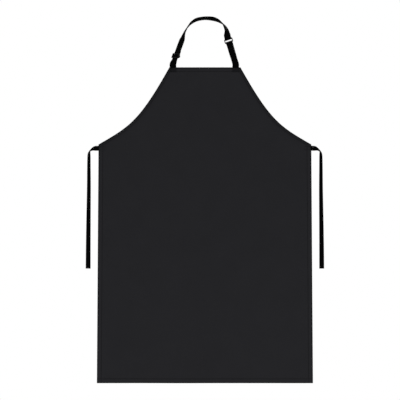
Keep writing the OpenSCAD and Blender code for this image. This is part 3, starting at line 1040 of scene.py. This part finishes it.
def hem_rows():
    """The rows of stitches along the hems, as lines in x and z"""
    half = ARMHOLE[0][0]
    row = {e: HEM_WIDTHS[e] - SEAM_INSET for e in HEM_WIDTHS}
    end = half + row["bib"] * ARMHOLE_LEAN - row["armhole"]
    lines = [[[-end, -row["bib"]], [end, -row["bib"]]]]
    armhole = inset_line(ARMHOLE_LINE, row["armhole"])[4:-3]
    low = row["bottom"] - HEIGHT
    side = []
    for z in (WAIST[1] - 4 * MM, low):
        side.append([half_width(np.array(z)) - row["side"], z])
    lines.append([[-side[1][0], low], [side[1][0], low]])
    for flip in (LEFT, RIGHT):
        lines.append(armhole * [flip, 1])
        lines.append(np.array(side) * [flip, 1])
    return lines


def cross_box(centre, width, height):
    """The lines of a stitched box with a cross in it"""
    x, z = centre
    w, h = width / 2, height / 2
    ring = [[x - w, z - h], [x + w, z - h], [x + w, z + h], [x - w, z + h]]
    return [
        *[[ring[i], ring[(i + 1) % 4]] for i in range(4)],
        [ring[0], ring[2]],
        [ring[1], ring[3]],
    ]


def sewn_lines(name, lines, pitch, wide, thread, back_y=None):
    """Stitches along lines on both faces of the cloth. back_y is the face of a tape sewn behind,
    where there is one."""
    rng = np.random.default_rng(STITCH_SEED)
    middles, directions = [], []
    for line in lines:
        m, d = steps_along(line, pitch)
        middles.append(m)
        directions.append(d)
    middle, direction = np.concatenate(middles), np.concatenate(directions)
    front, back = cloth_faces(middle[:, 0], middle[:, 1])[:2]
    if back_y is not None:
        back = back_y(middle[:, 0])
    turn = rng.normal(0, 0.05, len(middle))
    c, s = np.cos(turn)[:, None], np.sin(turn)[:, None]
    direction = direction * c + direction[:, ::-1] * [-1, 1] * s
    along = np.stack([direction[:, 0], np.zeros(len(middle)), direction[:, 1]], 1)
    long = pitch * rng.uniform(0.76, 0.88, len(middle))
    centres, outs = [], []
    for y, out in ((front, -1.0), (back, 1.0)):
        centres.append(np.stack([middle[:, 0], y + out * wide * 0.22, middle[:, 1]], 1))
        outs.append(np.tile([0, out, 0], (len(middle), 1)))
    return stitch_mesh(
        name,
        np.concatenate(centres),
        np.concatenate([along, along]),
        np.concatenate(outs),
        np.concatenate([long, long]),
        wide,
        thread,
    )


def make_stitches(thread):
    hems = sewn_lines("hem_stitches", hem_rows(), HEM_STITCH, HEM_THREAD, thread)
    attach(hems, "panel")
    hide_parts("bib_seam", "bottom_seam")
    for side in ("left", "right"):
        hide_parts(f"{side}_armhole_seam", f"{side}_side_seam")

    strap_back = STRAP_Y + STRAP_THICK / 2
    size = (STRAP_WIDTH - 2 * BOX_INSET, FOOT_LENGTH - 2 * BOX_INSET)
    lines = [line for centre in FOOT_CENTRES for line in cross_box(centre, *size)]
    feet = sewn_lines(
        "strap_stitches", lines, BOX_STITCH, BOX_THREAD, thread, lambda x: np.full_like(x, strap_back)
    )
    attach(feet, "panel")
    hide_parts("left_foot_stitches", "right_foot_stitches")

    size = (TAB_LENGTH - 4 * BOX_INSET, TIE_WIDTH - 2 * BOX_INSET)
    lines = [line for centre in TAB_CENTRES for line in cross_box(centre, *size)]
    tabs = sewn_lines(
        "tie_stitches", lines, BOX_STITCH, BOX_THREAD, thread, lambda x: tab_y(x) + TIE_THICK / 2
    )
    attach(tabs, "panel")
    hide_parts("left_tab_stitches", "right_tab_stitches")
    return hems, feet, tabs


def make_bartack(name, at, axes, out, thread):
    """A dense bar of zigzag thread across a doubled strap"""
    number = np.arange(TACK_STITCHES)
    spread = (number + 0.5) / TACK_STITCHES - 0.5
    wide = STRAP_WIDTH - 2 * BARTACK_INSET
    centres = at + out * axes[1] + np.outer(spread * wide, axes[0])
    lean = np.where(number % 2, 0.22, -0.22)[:, None]
    along = unit(axes[2] + lean * axes[0])
    face = axes[1] * np.sign(out)
    outs = np.tile(face, (TACK_STITCHES, 1))
    return stitch_mesh(name, centres, along, outs, TACK_STITCH, BOX_THREAD, thread)


def make_bartacks(thread):
    at = RING_AT + (RING_PITCH / 2 + RING_TAIL - RING_TACK_INSET) * RING_ALONG
    tack = make_bartack("ring_strap_tack", at, RING_AXES, STRAP_THICK / 2 + TACK_LIFT, thread)
    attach(tack, "neck_loop")
    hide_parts("ring_strap_bartack")
    at = SLIDER_AT + (SLIDER_TAIL - LOOP_TACK_INSET) * LEG_ALONG
    back = -LAYER_SHIFT - STRAP_THICK * 1.5 - SEWN_GAP - TACK_LIFT
    tack = make_bartack("end_loop_tack", at, SLIDER_AXES, back, thread)
    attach(tack, "slider")
    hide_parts("end_loop_bartack")


# --- Ring and slider -----------------------------------------------------------------------------


def in_axes(points, at, axes):
    """Points of a fitting's own across, out and along directions, in the row frame"""
    points = np.asarray(points)
    return placed(at + points[:, :1] * axes[0] + points[:, 1:2] * axes[1] + points[:, 2:] * axes[2])


def make_ring(plastic):
    """A moulded wire ring with rounded corners and a faint parting line"""
    half_x = STRAP_WIDTH / 2 + RING_CLEAR + RING_WIRE / 2
    half_z = RING_PITCH / 2
    line = []
    for quarter, (sx, sz) in enumerate([(1, 1), (-1, 1), (-1, -1), (1, -1)]):
        for a in np.radians(np.linspace(0, 90, 9) + 90 * quarter):
            x = sx * (half_x - RING_CORNER) + RING_CORNER * math.cos(a)
            z = sz * (half_z - RING_CORNER) + RING_CORNER * math.sin(a)
            line.append([x, z])
    line = np.array(line)
    n = 28
    angle = np.linspace(0, 2 * math.pi, n, endpoint=False)
    flash = 1 + 0.035 * np.exp(-((np.sin(angle) / 0.12) ** 2))
    count = len(line)
    tangent = unit(np.roll(line, -1, 0) - np.roll(line, 1, 0))
    normal = np.stack([tangent[:, 1], -tangent[:, 0]], 1)
    points = np.zeros((count, n, 3))
    radius = RING_WIRE / 2 * flash
    points[..., 0] = line[:, :1] + normal[:, :1] * radius * np.cos(angle)
    points[..., 2] = line[:, 1:] + normal[:, 1:] * radius * np.cos(angle)
    points[..., 1] = radius * np.sin(angle)
    faces = []
    for i in range(count):
        for j in range(n):
            k, m = (i + 1) % count, (j + 1) % n
            faces.append((i * n + j, i * n + m, k * n + m, k * n + j))
    points = in_axes(points.reshape(-1, 3), RING_AT, RING_AXES)
    ring = add_mesh("strap_ring", points, faces, plastic)
    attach(ring, "ring")
    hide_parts("ring")


def extruded(outline, low, high):
    """A block with that outline in y and z, from x low to x high"""
    made = bmesh.new()
    bottom = [made.verts.new((low, y, z)) for y, z in outline]
    top = [made.verts.new((high, y, z)) for y, z in outline]
    made.faces.new(bottom)
    made.faces.new(top)
    for i in range(len(outline)):
        k = (i + 1) % len(outline)
        made.faces.new((bottom[i], bottom[k], top[k], top[i]))
    bmesh.ops.recalc_face_normals(made, faces=made.faces)
    mesh = bpy.data.meshes.new("block")
    made.to_mesh(mesh)
    made.free()
    block = bpy.data.objects.new("block", mesh)
    bpy.context.scene.collection.objects.link(block)
    return block


def applied(thing):
    """The points and faces of an object with its modifiers applied"""
    graph = bpy.context.evaluated_depsgraph_get()
    mesh = bpy.data.meshes.new_from_object(thing.evaluated_get(graph))
    points = np.array([v.co for v in mesh.vertices])
    faces = [tuple(p.vertices) for p in mesh.polygons]
    return points, faces


def slider_blocks():
    """The blocks that the slider is joined from, in its own across, out and along directions"""
    front = STRAP_THICK / 2 + SLIDER_CLEAR
    face = front + SLIDER_THICK
    bar = -LAYER_SHIFT - SLIDER_TURN
    cheek = STRAP_WIDTH / 2 + SLIDER_CLEAR
    over = cheek + SLIDER_CHEEK / 2
    half = SLIDER_HIGH / 2
    r = SLIDER_BAR / 2
    profile = [(face, -half), (face, half), (front, half), (bar - r, r), (bar - r, -r), (front, -half)]
    blocks = [
        extruded(profile, cheek, cheek + SLIDER_CHEEK),
        extruded(profile, -cheek - SLIDER_CHEEK, -cheek),
    ]
    for low in (-half, half - SLIDER_BAR_HIGH):
        high = low + SLIDER_BAR_HIGH
        blocks.append(extruded([(front, low), (face, low), (face, high), (front, high)], -over, over))
    angles = np.linspace(0, 2 * math.pi, 16, endpoint=False)
    round_bar = [(bar + r * math.cos(a), r * math.sin(a)) for a in angles]
    blocks.append(extruded(round_bar, -over, over))
    return blocks


def make_slider(plastic):
    """Two front bars and a set-back middle bar between two cheeks, moulded as one"""
    blocks = slider_blocks()
    body = blocks[0]
    for other in blocks[1:]:
        union = body.modifiers.new("union", "BOOLEAN")
        union.operation = "UNION"
        union.solver = "EXACT"
        union.object = other
    bevel = body.modifiers.new("bevel", "BEVEL")
    bevel.width = SLIDER_BEVEL
    bevel.segments = 3
    bevel.limit_method = "ANGLE"
    bevel.angle_limit = math.radians(40)
    points, faces = applied(body)
    for block in blocks:
        bpy.data.objects.remove(block)
    slider = add_mesh(
        "strap_slider", in_axes(points, SLIDER_AT, SLIDER_AXES), faces, plastic
    )
    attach(slider, "slider")
    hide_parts("slider")


# --- The making ----------------------------------------------------------------------------------

bpy.context.scene.view_settings.view_transform = "Standard"
make_camera()
make_world()
make_floor()
add_sun("key", (-0.55, -1.0, 0.6), 1.5, 45)
add_sun("fill", (0.7, -0.8, 0.15), 0.55, 60)
add_sun("rim", (0.35, 1.0, 0.6), 1.3, 50)

webbing = chevron_material("black_webbing", WEBBING_COLOUR, 1.6 * MM, 6, STRAP_WIDTH, 1.3)
tape = chevron_material("black_cotton_tape", TAPE_COLOUR, 1.0 * MM, 4, TIE_WIDTH, 1.2)
twill = cloth_material()
thread = thread_material()
plastic = plastic_material()

for side in (LEFT, RIGHT):
    make_tie(side, tape)
panel = make_panel(twill)
sewing = make_stitches(thread)
make_neck_strap(webbing)
make_ring_strap(webbing)
make_bartacks(thread)
make_ring(plastic)
make_slider(plastic)
